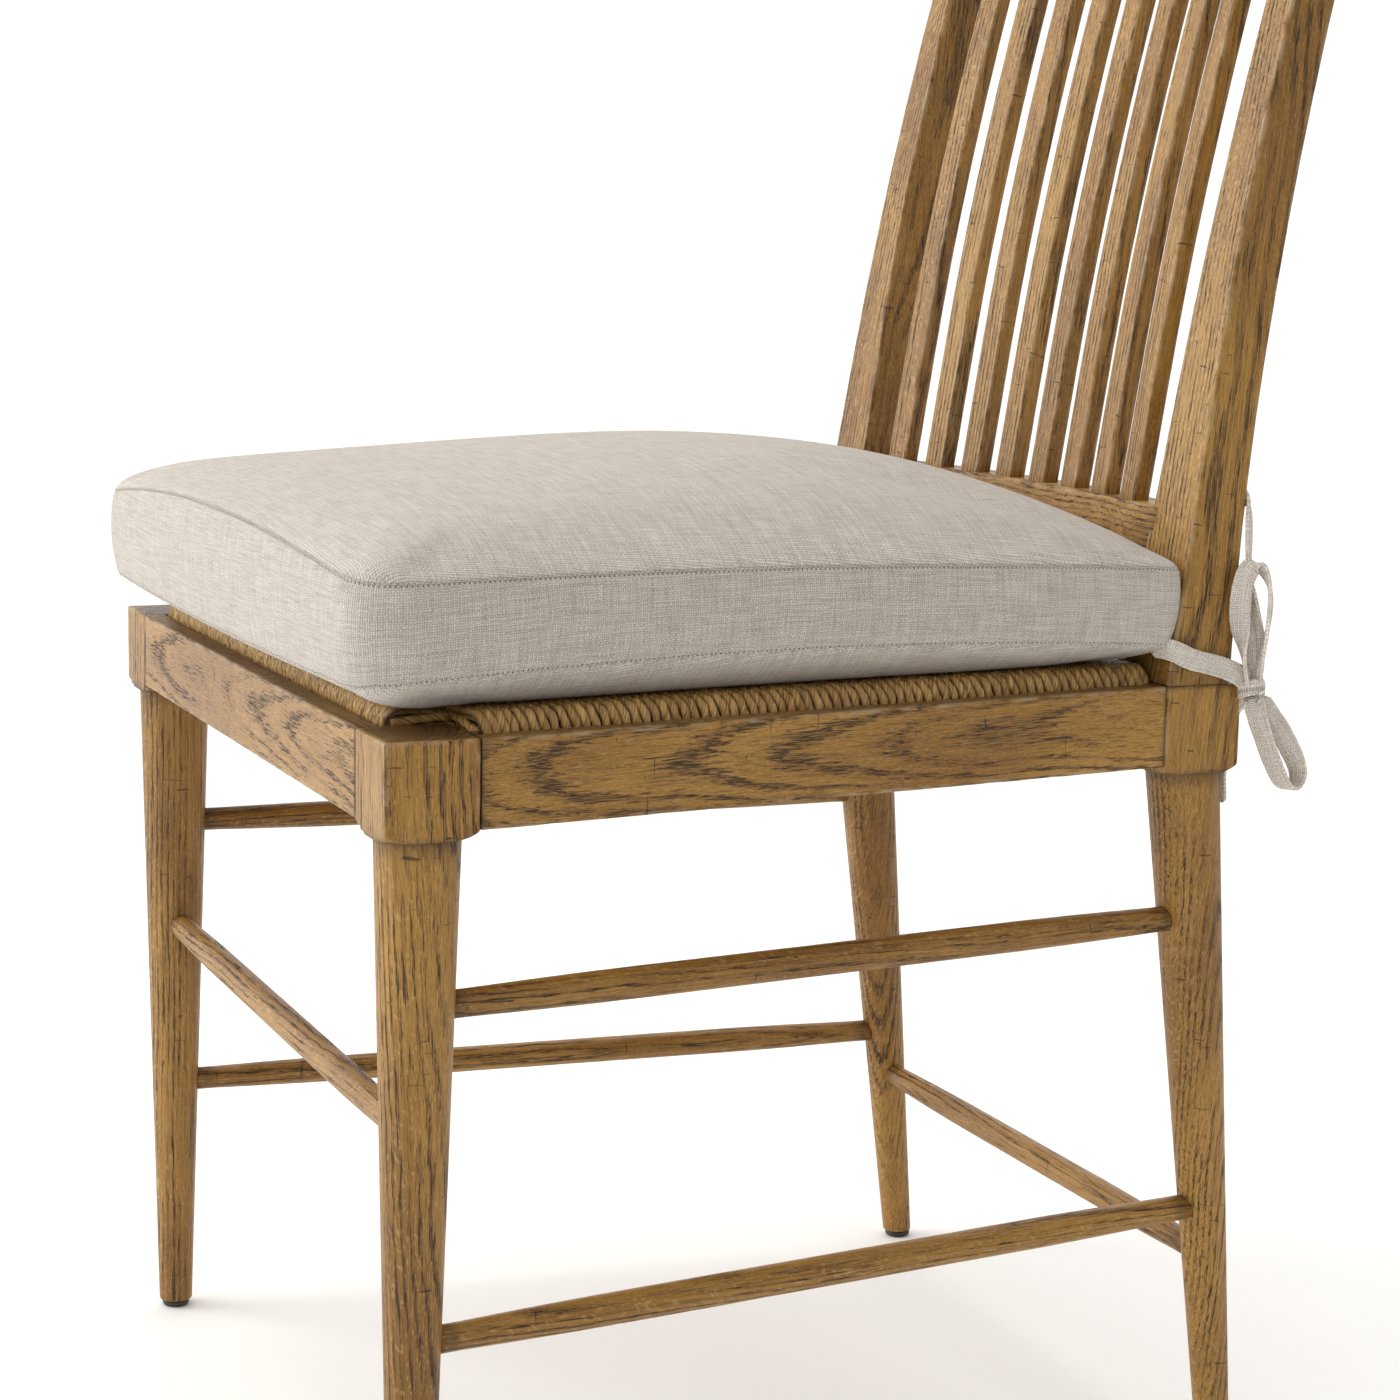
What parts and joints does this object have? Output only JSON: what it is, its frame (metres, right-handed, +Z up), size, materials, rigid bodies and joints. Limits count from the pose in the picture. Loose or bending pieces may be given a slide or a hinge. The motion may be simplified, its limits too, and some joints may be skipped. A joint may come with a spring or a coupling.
{
  "type": "wooden side chair",
  "caption": "Oak side chair with a bowed spindle back, round stretchers, a drop-in woven rush seat and a tied-on linen seat cushion.",
  "frame": {"origin": "on the floor, under the middle of the whole chair's bounding box", "axes": "+Z up, -Y to the front where the sitter faces, +X to the sitter's left"},
  "size_m": [0.512, 0.5942, 0.96],
  "materials": {
    "oak": "wire-brushed oak, medium golden brown with dark open grain, worn edges, satin wax",
    "inner_wood": "plain planed hardwood, unfinished",
    "rush": "twisted golden rush cord, slightly glossy",
    "linen": "greige linen weave, matt",
    "foam": "open-cell seat foam",
    "zip": "woven zip tape, matt",
    "screw": "zinc-plated wood screw",
    "glide": "dark brown nylon"
  },
  "bodies": {
    "root": {"back_post_left": "oak", "back_post_right": "oak", "back_seat_rail": "oak", "back_spindle_1": "oak", "back_spindle_2": "oak", "back_spindle_3": "oak", "back_spindle_4": "oak", "back_spindle_5": "oak", "back_spindle_6": "oak", "back_spindle_7": "oak", "back_spindle_8": "oak", "back_stretcher": "oak", "corner_block_front_left": "inner_wood", "corner_block_front_right": "inner_wood", "corner_block_rear_left": "inner_wood", "corner_block_rear_right": "inner_wood", "crest_rail": "oak", "cushion_core": "foam", "cushion_cover": "linen", "cushion_zip": "zip", "front_leg_left": "oak", "front_leg_right": "oak", "front_seat_rail": "oak", "front_stretcher": "oak", "glide_front_left": "glide", "glide_front_right": "glide", "glide_rear_left": "glide", "glide_rear_right": "glide", "lower_back_rail": "oak", "lower_side_stretcher_left": "oak", "lower_side_stretcher_right": "oak", "rush_back": "rush", "rush_front": "rush", "rush_left": "rush", "rush_right": "rush", "seat_screw_front_left": "screw", "seat_screw_front_right": "screw", "seat_screw_rear_left": "screw", "seat_screw_rear_right": "screw", "side_seat_rail_left": "oak", "side_seat_rail_right": "oak", "slip_seat_rail_back": "inner_wood", "slip_seat_rail_front": "inner_wood", "slip_seat_rail_left": "inner_wood", "slip_seat_rail_right": "inner_wood", "tie_bow_left": "linen", "tie_bow_right": "linen", "tie_inner_left": "linen", "tie_inner_right": "linen", "tie_knot_left": "linen", "tie_knot_right": "linen", "tie_outer_left": "linen", "tie_outer_right": "linen", "tie_tail_left": "linen", "tie_tail_right": "linen", "upper_side_stretcher_left": "oak", "upper_side_stretcher_right": "oak"}
  },
  "joints": []
}
